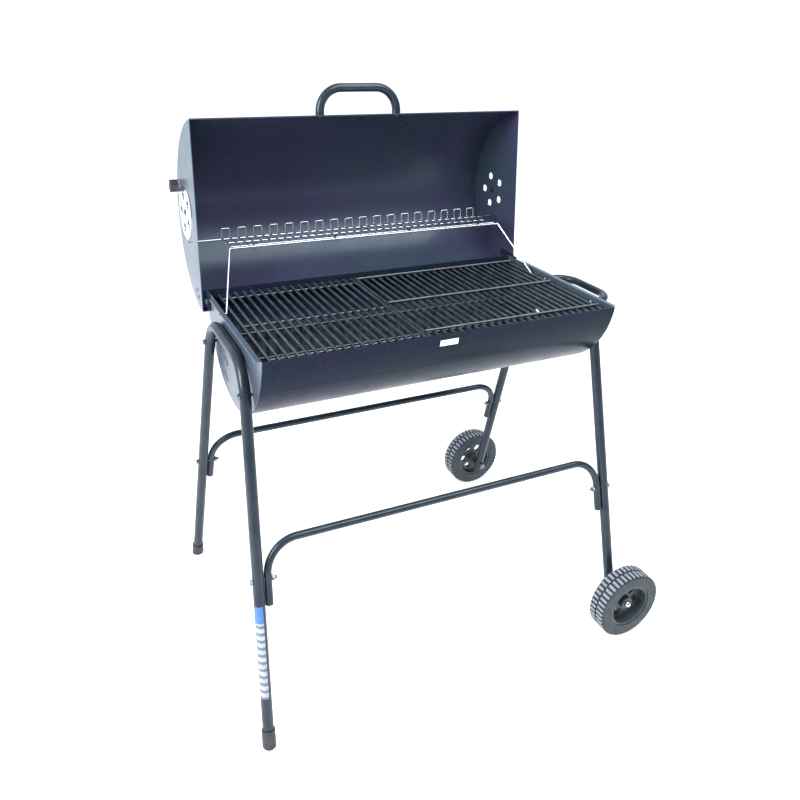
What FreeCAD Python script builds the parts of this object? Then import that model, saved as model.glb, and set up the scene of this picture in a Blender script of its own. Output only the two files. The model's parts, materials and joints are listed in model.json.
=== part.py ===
import FreeCAD, Part
import math
import os
import re
import Sketcher

# Barrel charcoal grill, millimetres, +Z up, lid open.
# X runs along the barrel, +X towards the wheels. Y runs from the front (-Y) to the back
# (+Y), where the lid is hinged. The pieces are drawn round a point on the floor under the
# middle of the bowl; centre_on_floor then moves them so that the origin is the bottom
# centre of the box round the whole grill.

os.makedirs("parts", exist_ok=True)

V = FreeCAD.Vector
X_AXIS = V(1, 0, 0)
Y_AXIS = V(0, 1, 0)
Z_AXIS = V(0, 0, 1)
doc = FreeCAD.newDocument("BarrelGrill")

# ---------------------------------------------------------------- driving dimensions

SIZES = {
    # sheet metal barrel
    "barrel_length": 700,
    "sheet_thickness": 1.2,
    "bowl_radius": 180,
    "bowl_centre_height": 703,
    "rim_height": 683,
    "hem_depth": 8,
    "end_flange_width": 8,
    "end_flange_front": -172,
    "end_flange_back": 125,
    "slot_length": 26,
    "slot_width": 6,
    # lid, drawn closed
    "lid_radius": 182.6,
    "lid_centre_height": 663.4,
    "lid_edge_height": 678.3,
    "lid_hem_depth": 4,
    "lid_end_gap": 10.5,
    "lid_open_angle": 96,
    "hinge_depth": 160,
    "hinge_height": 665,
    "bracket_thickness": 2,
    "bracket_height": 36,
    "bracket_drop": 15,
    "bracket_front": 150,
    "bracket_bend": 172,
    "bracket_back": 222,
    # vents in the lid ends
    "vent_disc_radius": 54,
    "vent_disc_thickness": 1,
    "vent_hole_radius": 8,
    "vent_pitch_radius": 33,
    "vent_first_hole_angle": -4,
    "vent_tab_start": 45,
    "vent_knob_start": 65,
    "vent_knob_end": 83,
    "vent_knob_width": 20,
    "vent_knob_length": 16,
    "vent_knob_angle": 34,
    # handles
    "lid_handle_diameter": 17.5,
    "lid_handle_spacing": 168,
    "lid_handle_offset": -17,
    "lid_handle_height": 692,
    "lid_handle_reach": 235,
    "lid_handle_bend_radius": 46,
    "side_handle_diameter": 16,
    "side_handle_spacing": 150,
    "side_handle_offset": -35,
    "side_handle_height": 669,
    "side_handle_reach": 57,
    "side_handle_bend_radius": 42,
    # warming rack
    "rack_wire_diameter": 3.2,
    "rack_rod_diameter": 2.4,
    "rack_hook_diameter": 2.6,
    "rack_rod_pitch": 17,
    "rack_hairpin_count": 18,
    "rack_fence_height": 21,
    "rack_pin_reach": 366,
    "rack_back_depth": 257,
    "rack_back_height": 758,
    "rack_front_depth": 169,
    "rack_front_height": 764,
    "crossbar_half_length": 305,
    "swing_leg_reach": 340,
    "swing_pin_reach": 354,
    # grates
    "grate_rod_diameter": 5,
    "grate_rod_pitch": 15.7,
    "grate_rod_length": 330,
    "grate_top_height": 678,
    "grate_split": -50,
    "grate_reach": 331,
    "charcoal_grate_height": 600,
    "ledge_width": 17,
    "ledge_drop": 13,
    "ledge_length": 676,
    # stand
    "tube_diameter": 20,
    "tube_wall": 1.2,
    "floor_half_length": 379.75,
    "floor_half_width": 276.1,
    "leg_slope": 0.2605,
    "frame_slope": 0.0301,
    "arch_height": 650,
    "arch_bend_radius": 70,
    "leg_joint_height": 570,
    "leg_neck_length": 25,
    "bowl_bolt_height": 600,
    "foot_cap_diameter": 24,
    "foot_cap_height": 30,
    "foot_cap_floor": 8,
    "stretcher_diameter": 14,
    "stretcher_height": 350,
    "stretcher_bend_radius": 57,
    "stretcher_end_height": 245,
    "stretcher_bolt_height": 290,
    # wheels
    "wheel_radius": 72.5,
    "wheel_width": 41,
    "wheel_offset": 279,
    "tread_depth": 4.5,
    "lug_count": 44,
    "hub_radius": 47,
    "hub_rim_thickness": 5,
    "hub_boss_radius": 13,
    "hub_boss_end": 31,
    "hub_web_start": 12,
    "hub_web_end": 22,
    "axle_diameter": 8,
    "wheeled_leg_end_height": 55,
    # fasteners and small pieces
    "bolt_diameter": 6,
    "bolt_clearance": 0.1,
    "loose_clearance": 0.5,
    "pivot_clearance": 0.05,
    "head_radius": 5.5,
    "head_height": 4,
    "plate_drill_depth": 20,
    "rivet_head_height": 2,
    "badge_length": 36,
    "badge_height": 12,
    "badge_offset": -13,
    "badge_centre_height": 666,
    "label_bottom": 88,
    "label_top": 249,
    "label_thickness": 0.3,
}

sheet = doc.addObject("Spreadsheet::Sheet", "Sizes")
for row, (alias, number) in enumerate(SIZES.items(), start=1):
    sheet.set(f"A{row}", alias)
    sheet.set(f"B{row}", str(number))
    sheet.setAlias(f"B{row}", alias)
doc.recompute()

sub_parts = []


# ---------------------------------------------------------------- sheet and sketch helpers

def from_sheet(text):
    """The expression with every alias (two words or more) pointed at the sheet."""
    return re.sub(r"[a-z]+(?:_[a-z]+)+", r"Sizes.\g<0>", text)


def worth(text):
    """The number an expression of aliases gives now."""
    return float(sheet.evalExpression(from_sheet(text)))


def bind(thing, target, text):
    thing.setExpression(target, from_sheet(text))


def keep(thing, label):
    thing.Label = label
    sub_parts.append(thing)
    return thing


def new_body(label, placement=FreeCAD.Placement()):
    body = doc.addObject("PartDesign::Body", label)
    body.Placement = placement
    return keep(body, label)


def new_solid(label, shape, placement=FreeCAD.Placement()):
    feature = doc.addObject("Part::Feature", label)
    feature.Shape = shape
    feature.Placement = placement
    return keep(feature, label)


def origin_feature(body, role):
    return [item for item in body.Origin.OriginFeatures if item.Role == role][0]


def new_sketch(body, name, plane, offset="0"):
    sketch = body.newObject("Sketcher::SketchObject", name)
    sketch.AttachmentSupport = [(origin_feature(body, plane), "")]
    sketch.MapMode = "FlatFace"
    bind(sketch, "AttachmentOffset.Base.z", offset)
    return sketch


def pin_point(sketch, edge, end, across, up):
    """Hold one point of a sketch edge at sheet-driven distances from the sketch origin."""
    for kind, text in (("DistanceX", across), ("DistanceY", up)):
        number = sketch.addConstraint(Sketcher.Constraint(kind, -1, 1, edge, end, worth(text)))
        bind(sketch, f"Constraints[{number}]", text)


def hold_radius(sketch, edge, text):
    number = sketch.addConstraint(Sketcher.Constraint("Radius", edge, worth(text)))
    bind(sketch, f"Constraints[{number}]", text)


def add_circle(sketch, across, up, radius):
    circle = Part.Circle(V(worth(across), worth(up), 0), Z_AXIS, worth(radius))
    edge = sketch.addGeometry(circle, False)
    pin_point(sketch, edge, 3, across, up)
    hold_radius(sketch, edge, radius)


def add_polygon(sketch, corners):
    first = sketch.GeometryCount
    points = [V(worth(across), worth(up), 0) for across, up in corners]
    for start, end in zip(points, points[1:] + points[:1]):
        sketch.addGeometry(Part.LineSegment(start, end), False)
    for index, (across, up) in enumerate(corners):
        following = first + (index + 1) % len(corners)
        sketch.addConstraint(Sketcher.Constraint("Coincident", first + index, 2, following, 1))
        pin_point(sketch, first + index, 1, across, up)


def add_rectangle(sketch, left, right, bottom, top):
    add_polygon(sketch, [(left, bottom), (right, bottom), (right, top), (left, top)])


def angle_on_circle(centre, radius, side, height):
    """Angle of the point of a circle at a height, on its -Y (side -1) or +Y (side 1) half."""
    rise = worth(height) - worth(centre)
    return math.atan2(rise, side * math.sqrt(worth(radius) ** 2 - rise ** 2))


def add_arc(sketch, centre, radius, start, end):
    """Arc about (0, centre), anticlockwise between two (side, height) points."""
    angles = [angle_on_circle(centre, radius, side, height) for side, height in (start, end)]
    circle = Part.Circle(V(0, worth(centre), 0), Z_AXIS, worth(radius))
    edge = sketch.addGeometry(Part.ArcOfCircle(circle, angles[0], angles[1]), False)
    pin_point(sketch, edge, 3, "0", centre)
    hold_radius(sketch, edge, radius)
    for point, (side, height) in ((1, start), (2, end)):
        limit = Sketcher.Constraint("DistanceY", -1, 1, edge, point, worth(height))
        number = sketch.addConstraint(limit)
        bind(sketch, f"Constraints[{number}]", height)
    return edge


def join_ends(sketch, edge, point, other_edge, other_point):
    """Straight line from an end of one edge to an end of another."""
    line = Part.LineSegment(sketch.getPoint(edge, point), sketch.getPoint(other_edge, other_point))
    number = sketch.addGeometry(line, False)
    sketch.addConstraint(Sketcher.Constraint("Coincident", number, 1, edge, point))
    sketch.addConstraint(Sketcher.Constraint("Coincident", number, 2, other_edge, other_point))


def pad(body, sketch, length, symmetric=False):
    feature = body.newObject("PartDesign::Pad", "Pad")
    feature.Profile = sketch
    bind(feature, "Length", length)
    if symmetric:
        feature.SideType = "Symmetric"
    sketch.Visibility = False
    return feature


def cut_through(body, sketch):
    """Pocket right through the body, both ways from the sketch."""
    feature = body.newObject("PartDesign::Pocket", "Pocket")
    feature.Profile = sketch
    feature.SideType = "Two sides"
    feature.Type = "ThroughAll"
    feature.Type2 = "ThroughAll"
    sketch.Visibility = False
    return feature


def revolve(body, sketch):
    feature = body.newObject("PartDesign::Revolution", "Revolution")
    feature.Profile = sketch
    feature.ReferenceAxis = (origin_feature(body, "Z_Axis"), [""])
    feature.Angle = 360
    sketch.Visibility = False
    return feature


def polar_pattern(body, features, axis, count):
    pattern = body.newObject("PartDesign::PolarPattern", "PolarPattern")
    pattern.Originals = features
    pattern.Axis = (origin_feature(body, axis), [""])
    pattern.Angle = 360
    bind(pattern, "Occurrences", count)
    body.Tip = pattern
    return pattern


def pointing(point, direction):
    """Placement that starts at a point and turns +Z into a direction."""
    return FreeCAD.Placement(point, FreeCAD.Rotation(Z_AXIS, direction))


def drill(body, radius, length, point, direction):
    """Round hole in a body, from a point of the whole grill's frame along a direction."""
    hole = body.newObject("PartDesign::SubtractiveCylinder", "Drill")
    bind(hole, "Radius", radius)
    bind(hole, "Height", length)
    hole.Placement = body.Placement.inverse().multiply(pointing(point, direction))
    return hole


def bend_points(before, corner, after, radius):
    """Start, middle, end and centre of the arc that rounds a corner."""
    back = (before - corner).normalize()
    ahead = (after - corner).normalize()
    half_angle = back.getAngle(ahead) / 2
    start = corner + back * (radius / math.tan(half_angle))
    end = corner + ahead * (radius / math.tan(half_angle))
    bisector = (back + ahead).normalize()
    centre = corner + bisector * (radius / math.sin(half_angle))
    return start, centre - bisector * radius, end, centre


def bent_wire(points, bend_radius, diameter):
    """Round wire along a polyline with every inner corner bent to one radius."""
    edges = []
    at = points[0]
    for before, corner, after in zip(points, points[1:], points[2:]):
        start, middle, end, _ = bend_points(before, corner, after, bend_radius)
        edges.append(Part.makeLine(at, start))
        edges.append(Part.Arc(start, middle, end).toShape())
        at = end
    edges.append(Part.makeLine(at, points[-1]))
    circle = Part.Circle(points[0], points[1] - points[0], diameter / 2)
    profile = Part.Wire([circle.toShape()])
    return Part.Wire(edges).makePipeShell([profile], True, False)


def straight_wire(start, end, diameter):
    return Part.makeCylinder(diameter / 2, (end - start).Length, start, end - start)


def weld(pieces):
    """One solid out of pieces that bite into each other."""
    return pieces[0].multiFuse(pieces[1:])


def bent_tube(label, corners, bend_radius, diameter, wall, placement):
    """Tube symmetric about its local X = 0, its half path in local XZ from (0, height) out.

    Corners are (x, z) expressions. A wall of "0" makes a solid bar."""
    body = new_body(label, placement)
    path = new_sketch(body, "Path", "XZ_Plane")
    points = [V(worth(across), worth(up), 0) for across, up in corners]
    radius = worth(bend_radius)
    at = points[0]
    for before, corner, after in zip(points, points[1:], points[2:]):
        start, middle, end, centre = bend_points(before, corner, after, radius)
        path.addGeometry(Part.LineSegment(at, start), False)
        path.addGeometry(Part.Arc(start, middle, end), False)
        at = end
    path.addGeometry(Part.LineSegment(at, points[-1]), False)
    for edge in range(1, path.GeometryCount, 2):
        hold_radius(path, edge, bend_radius)
    pin_point(path, 0, 1, *corners[0])
    section = new_sketch(body, "Section", "YZ_Plane")
    add_circle(section, "0", corners[0][1], f"({diameter}) / 2")
    if wall != "0":
        add_circle(section, "0", corners[0][1], f"({diameter}) / 2 - ({wall})")
    sweep = body.newObject("PartDesign::AdditivePipe", "Sweep")
    sweep.Profile = section
    sweep.Spine = (path, [])
    mirror = body.newObject("PartDesign::Mirrored", "Mirror")
    mirror.Originals = [sweep]
    mirror.MirrorPlane = (origin_feature(body, "YZ_Plane"), [""])
    body.Tip = mirror
    path.Visibility = False
    section.Visibility = False
    return body


# ---------------------------------------------------------------- shared positions

SIDES = {"left": -1, "right": 1}
ENDS = {"front": -1, "rear": 1}

HALF_LENGTH = worth("barrel_length / 2")
SHEET = worth("sheet_thickness")
LID_END_INNER = worth("barrel_length / 2 + lid_end_gap")
LID_END_OUTER = LID_END_INNER + SHEET
HINGE = V(0, worth("hinge_depth"), worth("hinge_height"))
RACK_BACK = V(0, worth("rack_back_depth"), worth("rack_back_height"))
RACK_FRONT = V(0, worth("rack_front_depth"), worth("rack_front_height"))
# the swing leg is as long as the lid arm and starts where the parallelogram closes
SWING_PIVOT = RACK_FRONT - (RACK_BACK - HINGE)
OPEN_TURN = FreeCAD.Rotation(X_AXIS, -worth("lid_open_angle"))
OPEN_LID = FreeCAD.Placement(V(0, 0, 0), OPEN_TURN, HINGE)

LEAN = math.atan(worth("leg_slope"))
TILT = math.atan(worth("frame_slope"))


def at_x(point, across):
    return V(across, point.y, point.z)


def frame_placement(side):
    """Frame of one end of the stand: local YZ is the plane of its arch and two legs."""
    base = V(side * worth("floor_half_length"), 0, 0)
    return FreeCAD.Placement(base, FreeCAD.Rotation(Y_AXIS, -side * math.degrees(TILT)))


def leg_placement(side, end):
    """Leg frame: starts where the leg's axis meets the floor, +Z runs up the leg."""
    foot = V(0, end * worth("floor_half_width"), 0)
    lean = FreeCAD.Rotation(X_AXIS, end * math.degrees(LEAN))
    return frame_placement(side).multiply(FreeCAD.Placement(foot, lean))


def up_leg(height):
    """Distance along a leg's axis for a height above the floor."""
    return worth(height) / (math.cos(LEAN) * math.cos(TILT))


AXLE_X = worth("floor_half_length - frame_slope * wheel_radius")

# drills start this far inside the plate they go through
DRILL_LEAD = 10
# nuts and turning heads stand off the face they sit on
FASTENER_GAP = 0.3
BRACKET_NEAR = HALF_LENGTH + 2 * FASTENER_GAP


# ---------------------------------------------------------------- bowl

def add_band(body, centre, outer, inner, start, end, length):
    """Rolled sheet: the band between two arcs, cut level at its ends, padded along X."""
    sketch = new_sketch(body, "Band", "YZ_Plane")
    outer_arc = add_arc(sketch, centre, outer, start, end)
    inner_arc = add_arc(sketch, centre, inner, start, end)
    join_ends(sketch, outer_arc, 1, inner_arc, 1)
    join_ends(sketch, outer_arc, 2, inner_arc, 2)
    pad(body, sketch, length, symmetric=True)


def add_end_plate(body, side, centre, radius, height, inner_face):
    """Flat plate closing one end of a rolled sheet, cut level at a height."""
    corner_points = [(-1, height), (1, height)]
    if worth(centre) < worth(height):
        corner_points.reverse()
    offset = inner_face if side > 0 else f"-({inner_face}) - sheet_thickness"
    sketch = new_sketch(body, "Plate", "YZ_Plane", offset)
    arc = add_arc(sketch, centre, radius, *corner_points)
    join_ends(sketch, arc, 2, arc, 1)
    pad(body, sketch, "sheet_thickness")


def make_bowl_shell():
    body = new_body("bowl_shell")
    inner = "bowl_radius - sheet_thickness"
    length = "barrel_length - 2 * sheet_thickness"
    rim = "rim_height"
    fold = "rim_height - hem_depth"
    centre = "bowl_centre_height"
    add_band(body, centre, "bowl_radius", inner, (-1, rim), (1, rim), length)
    folded = "bowl_radius - 2 * sheet_thickness"
    add_band(body, centre, inner, folded, (-1, rim), (-1, fold), length)
    add_band(body, centre, inner, folded, (1, fold), (1, rim), length)


def add_air_slot(body, depth, height):
    """Slanted slot near the middle of a bowl end."""
    along = (math.cos(math.radians(SLOT_SLANT)), math.sin(math.radians(SLOT_SLANT)))
    corners = []
    for run, rise in ((-1, -1), (1, -1), (1, 1), (-1, 1)):
        out = f"{run} * slot_length / 2"
        over = f"{rise} * slot_width / 2"
        corners.append((f"{depth} + {out} * {along[0]:.4f} - {over} * {along[1]:.4f}",
                        f"{height} + {out} * {along[1]:.4f} + {over} * {along[0]:.4f}"))
    sketch = new_sketch(body, "Slot", "YZ_Plane")
    add_polygon(sketch, corners)
    cut_through(body, sketch)


SLOT_SLANT = 25
SLOT_SPOTS = ((45, 590), (48, 557))


def make_bowl_end(name, side):
    body = new_body(f"bowl_end_{name}")
    inner_face = "barrel_length / 2 - sheet_thickness"
    add_end_plate(body, side, "bowl_centre_height", "bowl_radius", "rim_height", inner_face)
    start = "barrel_length / 2" if side > 0 else "-barrel_length / 2 - end_flange_width"
    flange = new_sketch(body, "Flange", "YZ_Plane", start)
    add_rectangle(flange, "end_flange_front", "end_flange_back",
                  "rim_height - sheet_thickness", "rim_height")
    pad(body, flange, "end_flange_width")
    for depth, height in SLOT_SPOTS:
        add_air_slot(body, depth, height)
    inside = side * (HALF_LENGTH - DRILL_LEAD)
    outward = V(side, 0, 0)
    drill(body, "bolt_diameter / 2 + bolt_clearance", "plate_drill_depth",
          at_x(HINGE, inside), outward)
    drill(body, "rack_wire_diameter / 2 + pivot_clearance", "plate_drill_depth",
          at_x(SWING_PIVOT, inside), outward)
    for end in ENDS.values():
        bolt = bowl_bolt_placement(side, end)
        inward = bolt.Rotation.multVec(V(-side, 0, 0))
        drill(body, "bolt_diameter / 2 + loose_clearance", "3 * plate_drill_depth",
              bolt.Base, inward)
    if side > 0:
        for foot in (-1, 1):
            drill(body, "bolt_diameter / 2 + bolt_clearance", "plate_drill_depth",
                  side_handle_foot(foot) - V(DRILL_LEAD, 0, 0), X_AXIS)


def bowl_bolt_placement(side, end):
    """Where a bolt crosses the axis of an arch tube, its +X along the bolt."""
    height = worth("bowl_bolt_height")
    depth = worth("floor_half_width - leg_slope * bowl_bolt_height")
    return frame_placement(side).multiply(FreeCAD.Placement(V(0, end * depth, height),
                                                            FreeCAD.Rotation()))


def make_grate_ledge(name, end):
    """Angle strip the cooking grates lie on; its lower edge meets the bowl's wall."""
    body = new_body(f"grate_ledge_{name}")
    top = "grate_top_height - grate_rod_diameter"
    bottom = f"({top} - ledge_drop)"
    wall = (f"sqrt((bowl_radius - sheet_thickness) ^ 2"
            f" - (bowl_centre_height - {bottom}) ^ 2)")
    sketch = new_sketch(body, "Angle", "YZ_Plane")
    corners = [(f"{wall}", bottom),
               (f"{wall}", top),
               (f"{wall} - ledge_width", top),
               (f"{wall} - ledge_width", f"{top} - sheet_thickness"),
               (f"{wall} - sheet_thickness", f"{top} - sheet_thickness"),
               (f"{wall} - sheet_thickness", bottom)]
    if end < 0:
        corners = [(f"-({across})", up) for across, up in reversed(corners)]
    add_polygon(sketch, corners)
    pad(body, sketch, "ledge_length", symmetric=True)


def make_cooking_grate(name, first_x, last_x, cross_above):
    """Rods along Y at one pitch, joined by three cross wires above or below them."""
    diameter = worth("grate_rod_diameter")
    bite = diameter * 0.06
    rod_z = worth("grate_top_height") - diameter / 2
    cross_z = rod_z + (diameter - bite) * (1 if cross_above else -1)
    half = worth("grate_rod_length / 2")
    count = int((last_x - first_x) / worth("grate_rod_pitch")) + 1
    pitch = (last_x - first_x) / (count - 1)
    pieces = []
    for index in range(count):
        x = first_x + index * pitch
        pieces.append(straight_wire(V(x, -half, rod_z), V(x, half, rod_z), diameter))
    for y in (-GRATE_CROSS_OFFSET, 0, GRATE_CROSS_OFFSET):
        pieces.append(straight_wire(V(first_x - diameter / 2, y, cross_z),
                                    V(last_x + diameter / 2, y, cross_z), diameter))
    new_solid(f"cooking_grate_{name}", weld(pieces))


GRATE_CROSS_OFFSET = 148
GRATE_GAP = 4


def make_charcoal_grate():
    """Grid low in the bowl, the ends of its rods lying on the curved wall."""
    diameter = worth("grate_rod_diameter")
    height = worth("charcoal_grate_height")
    underside = height - diameter / 2
    wall_radius = worth("bowl_radius - sheet_thickness")
    drop = worth("bowl_centre_height") - underside
    half = math.sqrt(wall_radius ** 2 - drop ** 2)
    reach = worth("grate_reach")
    count = 2 * int(reach / CHARCOAL_PITCH) + 1
    pieces = []
    for index in range(count):
        x = (index - (count - 1) / 2) * CHARCOAL_PITCH
        pieces.append(straight_wire(V(x, -half, height), V(x, half, height), diameter))
    rail_z = height + diameter * 0.94
    for y in (-CHARCOAL_RAIL_OFFSET, 0, CHARCOAL_RAIL_OFFSET):
        pieces.append(straight_wire(V(-reach, y, rail_z), V(reach, y, rail_z), diameter))
    new_solid("charcoal_grate", weld(pieces))


CHARCOAL_PITCH = 24
CHARCOAL_RAIL_OFFSET = 120


def make_badge():
    """Blank plate on the front of the bowl, flat against its curve."""
    body = new_body("blank_badge")
    drop = worth("bowl_centre_height - badge_centre_height")
    radius = worth("bowl_radius")
    depth = math.sqrt(radius ** 2 - drop ** 2)
    outward = V(0, -depth, -drop).normalize()
    sag = radius - math.sqrt(radius ** 2 - worth("badge_height / 2") ** 2)
    base = V(worth("badge_offset"), -depth, worth("badge_centre_height")) + outward * sag
    turn = FreeCAD.Rotation(X_AXIS, 90 + math.degrees(math.asin(drop / radius)))
    body.Placement = FreeCAD.Placement(base, turn)
    sketch = new_sketch(body, "Outline", "XY_Plane")
    add_rectangle(sketch, "-badge_length / 2", "badge_length / 2",
                  "-badge_height / 2", "badge_height / 2")
    pad(body, sketch, "sheet_thickness")


def side_handle_foot(foot):
    y = worth("side_handle_offset") + foot * worth("side_handle_spacing / 2")
    return V(HALF_LENGTH, y, worth("side_handle_height"))


def make_side_handle():
    """Bent bar on the right end of the bowl, local X along Y and local Z outwards."""
    base = V(HALF_LENGTH, worth("side_handle_offset"), worth("side_handle_height"))
    placement = FreeCAD.Placement(base, FreeCAD.Rotation(Y_AXIS, Z_AXIS, X_AXIS, "XYZ"))
    corners = [("0", "side_handle_reach"),
               ("side_handle_spacing / 2", "side_handle_reach"),
               ("side_handle_spacing / 2", "0")]
    body = bent_tube("side_handle", corners, "side_handle_bend_radius",
                     "side_handle_diameter", "0", placement)
    for foot in (-1, 1):
        drill(body, "bolt_diameter / 2 + bolt_clearance", "14",
              side_handle_foot(foot), X_AXIS)


# ---------------------------------------------------------------- lid, drawn closed

def make_lid_shell():
    body = new_body("lid_shell", OPEN_LID)
    length = "barrel_length + 2 * lid_end_gap"
    edge = "lid_edge_height"
    fold = "lid_edge_height + lid_hem_depth"
    centre = "lid_centre_height"
    inner = "lid_radius - sheet_thickness"
    folded = "lid_radius + sheet_thickness"
    add_band(body, centre, "lid_radius", inner, (1, edge), (-1, edge), length)
    add_band(body, centre, folded, "lid_radius", (1, edge), (1, fold), length)
    add_band(body, centre, folded, "lid_radius", (-1, fold), (-1, edge), length)
    drill_handle_feet(body)


def drill_handle_feet(body):
    """Screw holes along the centre lines of both lid handle feet, in the open lid."""
    outward = OPEN_LID.Rotation.multVec(V(0, -1, 0))
    for foot in (-1, 1):
        across = worth("lid_handle_offset") + foot * worth("lid_handle_spacing / 2")
        inside = V(across, -worth("lid_radius") + HANDLE_DRILL_LEAD, worth("lid_handle_height"))
        drill(body, "bolt_diameter / 2 + bolt_clearance", "2.25 * plate_drill_depth",
              OPEN_LID.multVec(inside), outward)


HANDLE_DRILL_LEAD = 22


def make_lid_end(name, side):
    body = new_body(f"lid_end_{name}", OPEN_LID)
    add_end_plate(body, side, "lid_centre_height", "lid_radius", "lid_edge_height",
                  "barrel_length / 2 + lid_end_gap")
    inside = side * (LID_END_INNER - DRILL_LEAD)
    outward = V(side, 0, 0)
    centre = vent_centre()
    for spot in vent_hole_spots(centre):
        drill(body, "vent_hole_radius", "plate_drill_depth", at_x(spot, inside), outward)
    drill(body, "bolt_diameter / 2 + bolt_clearance", "plate_drill_depth",
          at_x(centre, inside), outward)
    drill(body, "rack_wire_diameter / 2 + pivot_clearance", "plate_drill_depth",
          at_x(RACK_BACK, inside), outward)
    for depth, height in BRACKET_RIVETS:
        drill(body, "bolt_diameter / 2 + bolt_clearance", "plate_drill_depth",
              V(inside, depth, height), outward)


def vent_centre():
    """Middle of the vent in the open lid."""
    return OPEN_LID.multVec(V(0, 0, VENT_HEIGHT_CLOSED))


VENT_HEIGHT_CLOSED = 771


def vent_hole_spots(centre):
    spots = []
    for index in range(VENT_HOLE_COUNT):
        angle = math.radians(worth("vent_first_hole_angle") + index * 360 / VENT_HOLE_COUNT)
        reach = worth("vent_pitch_radius")
        spots.append(centre + V(0, reach * math.cos(angle), reach * math.sin(angle)))
    return spots


VENT_HOLE_COUNT = 5
BRACKET_RIVETS = ((211, 672), (202, 661))


def make_hinge_bracket(name, side):
    """Bent bracket between a lid end and a bowl end, drawn with the lid open."""
    body = new_body(f"hinge_bracket_{name}")
    near = BRACKET_NEAR
    far = LID_END_INNER
    thick = worth("bracket_thickness")
    front = worth("bracket_front")
    bend = worth("bracket_bend")
    back = worth("bracket_back")
    outline = [(near, front), (near + thick, front), (near + thick, bend), (far, bend),
               (far, back), (far - thick, back), (far - thick, bend + thick),
               (near, bend + thick)]
    corners = [(f"{side * across:.3f}", f"{depth:.3f}") for across, depth in outline]
    sketch = new_sketch(body, "Bend", "XY_Plane", "hinge_height - bracket_drop")
    add_polygon(sketch, corners)
    pad(body, sketch, "bracket_height")
    inward = V(-side, 0, 0)
    through = "2 * bracket_thickness"
    drill(body, "bolt_diameter / 2 + pivot_clearance", through,
          at_x(HINGE, side * (near + 1.5 * thick)), inward)
    for depth, height in BRACKET_RIVETS:
        drill(body, "bolt_diameter / 2 + bolt_clearance", through,
              V(side * (far + thick / 2), depth, height), inward)


def make_lid_handle():
    """Bent bar on the front of the lid, its feet cut to the curve of the shell."""
    base = V(worth("lid_handle_offset"), 0, worth("lid_handle_height"))
    closed = FreeCAD.Placement(base, FreeCAD.Rotation(X_AXIS, 90))
    corners = [("0", "lid_handle_reach"),
               ("lid_handle_spacing / 2", "lid_handle_reach"),
               ("lid_handle_spacing / 2", "lid_radius - head_height")]
    body = bent_tube("lid_handle", corners, "lid_handle_bend_radius",
                     "lid_handle_diameter", "0", OPEN_LID.multiply(closed))
    axis_end = OPEN_LID.multVec(V(-HALF_LENGTH, 0, worth("lid_centre_height")))
    drill(body, "lid_radius", "barrel_length", axis_end, X_AXIS)
    drill_handle_feet(body)


def make_vent_disc(name, side):
    """Turning disc with five holes and a tab, local origin on the vent's axis."""
    body = new_body(f"vent_disc_{name}", FreeCAD.Placement(vent_centre(), FreeCAD.Rotation()))
    near = LID_END_OUTER + VENT_GAP
    start = f"{near:.3f}" if side > 0 else f"-{near:.3f} - vent_disc_thickness"
    disc = new_sketch(body, "Disc", "YZ_Plane", start)
    add_circle(disc, "0", "0", "vent_disc_radius")
    pad(body, disc, "vent_disc_thickness")
    tab = new_sketch(body, "Tab", "YZ_Plane", start)
    add_polygon(tab, vent_strip("vent_tab_start"))
    pad(body, tab, "vent_disc_thickness")
    hole = new_sketch(body, "Hole", "YZ_Plane")
    first = "vent_first_hole_angle"
    add_circle(hole, f"vent_pitch_radius * cos({first})", f"vent_pitch_radius * sin({first})",
               "vent_hole_radius")
    cut = cut_through(body, hole)
    polar_pattern(body, [cut], "X_Axis", str(VENT_HOLE_COUNT))
    middle = new_sketch(body, "Middle", "YZ_Plane")
    add_circle(middle, "0", "0", "bolt_diameter / 2 + pivot_clearance")
    body.Tip = cut_through(body, middle)


VENT_GAP = 0.3


def vent_strip(start):
    """Corners of a strip as wide as the knob, from a radius out to the knob's end."""
    corners = []
    for out, aside in ((start, -1), ("vent_knob_end", -1), ("vent_knob_end", 1), (start, 1)):
        over = f"({aside} * vent_knob_width / 2)"
        corners.append((f"{out} * cos(vent_knob_angle) - {over} * sin(vent_knob_angle)",
                        f"{out} * sin(vent_knob_angle) + {over} * cos(vent_knob_angle)"))
    return corners


def make_vent_knob(name, side):
    """Block standing outwards on the tab of the disc, its outer edges rounded."""
    body = new_body(f"vent_knob_{name}", FreeCAD.Placement(vent_centre(), FreeCAD.Rotation()))
    near = LID_END_OUTER + VENT_GAP + worth("vent_disc_thickness")
    start = f"{near:.3f}" if side > 0 else f"-{near:.3f} - vent_knob_length"
    block = new_sketch(body, "Block", "YZ_Plane", start)
    add_polygon(block, vent_strip("vent_knob_start"))
    feature = pad(body, block, "vent_knob_length")
    doc.recompute()
    long_edges = []
    for number, edge in enumerate(feature.Shape.Edges, start=1):
        if abs(edge.tangentAt(edge.FirstParameter).x) > 0.9:
            long_edges.append(f"Edge{number}")
    fillet = body.newObject("PartDesign::Fillet", "Round")
    fillet.Base = (feature, long_edges)
    fillet.Radius = KNOB_ROUNDING
    body.Tip = fillet


KNOB_ROUNDING = 2


# ---------------------------------------------------------------- warming rack

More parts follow.
